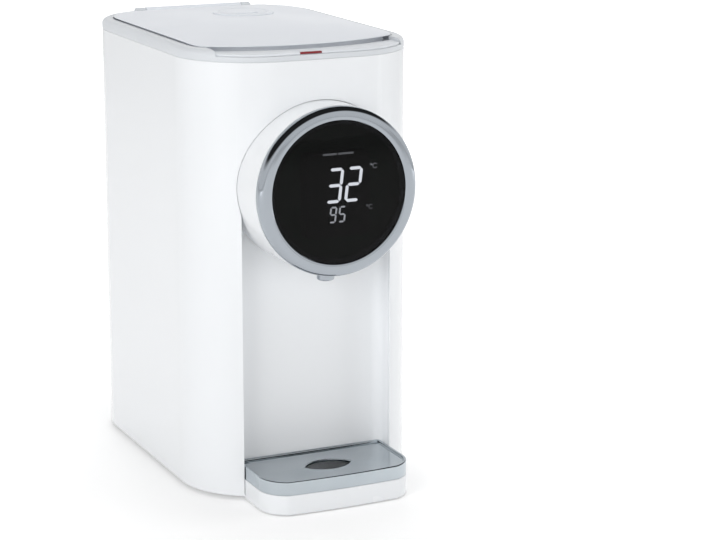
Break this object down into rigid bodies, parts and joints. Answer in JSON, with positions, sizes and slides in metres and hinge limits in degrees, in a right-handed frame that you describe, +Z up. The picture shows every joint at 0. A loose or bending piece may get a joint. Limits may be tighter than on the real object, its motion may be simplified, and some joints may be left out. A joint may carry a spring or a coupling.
{
  "type": "electric thermo pot",
  "caption": "Tall rounded white hot water dispenser with a round touch display, a cup niche with drip tray, a hinged lid and a pump.",
  "frame": {"origin": "on the table, under the middle of the whole object's box", "axes": "+Z up, the display and drip tray face -Y, +X to the right of someone facing the back"},
  "size_m": [0.18, 0.3124, 0.3438],
  "materials": {
    "white_gloss": "gloss",
    "white_satin": "satin",
    "frame_satin": "satin",
    "lid_satin": "satin",
    "black_rubber": "matte",
    "steel": "brushed",
    "silicone": "satin",
    "element_metal": "cast",
    "black_plastic": "matte",
    "dark_plastic": "matte",
    "blue_plastic": "satin",
    "chrome": "polished",
    "black_glass": "gloss",
    "circuit_board": "satin",
    "led_white": "lit",
    "brass_pins": "satin",
    "red_mark": "satin",
    "plate_metal": "satin"
  },
  "bodies": {
    "housing": {"outer_shell": "white_gloss", "niche_panel": "white_gloss", "base_pan": "white_satin", "rubber_feet": "black_rubber", "base_screws": "steel", "top_frame": "frame_satin", "inner_tank": "steel", "tank_seal": "silicone", "heater": "element_metal", "thermal_cutouts": "black_plastic", "temperature_sensor": "steel", "pump_motor": "steel", "pump_housing": "dark_plastic", "impeller_shaft": "steel", "suction_hose": "silicone", "riser_tube": "silicone", "spout_nozzle": "chrome", "display_collar": "white_gloss", "collar_screws": "steel", "chrome_ring": "chrome", "display_glass": "black_glass", "display_board": "circuit_board", "led_module": "dark_plastic", "digit_segments": "led_white", "power_board": "circuit_board", "mains_inlet": "black_plastic", "inlet_pins": "brass_pins", "hinge_pin": "steel", "release_springs": "steel"},
    "lid": {"lid_cover": "lid_satin", "lid_liner": "steel", "lid_gasket": "silicone", "lid_screws": "steel", "vent_cap": "lid_satin"},
    "release_bar": {"release_bar": "frame_satin", "lock_mark": "red_mark"},
    "tray": {"drip_tray": "white_gloss"},
    "plate": {"drip_plate": "plate_metal"},
    "impeller": {"impeller": "blue_plastic"}
  },
  "joints": [
    {"name": "lid_hinge", "type": "hinge", "parent": "housing", "child": "lid", "pos_m": [0, 0.14075, 0.3365], "axis": [-1, 0, 0], "range_deg": [0, 80]},
    {"name": "bar_press", "type": "slide", "parent": "housing", "child": "release_bar", "axis": [0, 0, -1], "range_m": [0, 0.002], "stiffness_N_per_m": 400, "springref_m": -0.004, "deforming": ["release_springs"]},
    {"name": "tray_slide", "type": "slide", "parent": "housing", "child": "tray", "axis": [0, -1, 0], "range_m": [0, 0.075]},
    {"name": "plate_lift", "type": "slide", "parent": "tray", "child": "plate", "axis": [0, 0, 1], "range_m": [0, 0.03]},
    {"name": "impeller_spin", "type": "hinge", "parent": "housing", "child": "impeller", "pos_m": [0, -0.03025, 0.045], "axis": [0, 0, 1], "continuous": true}
  ]
}
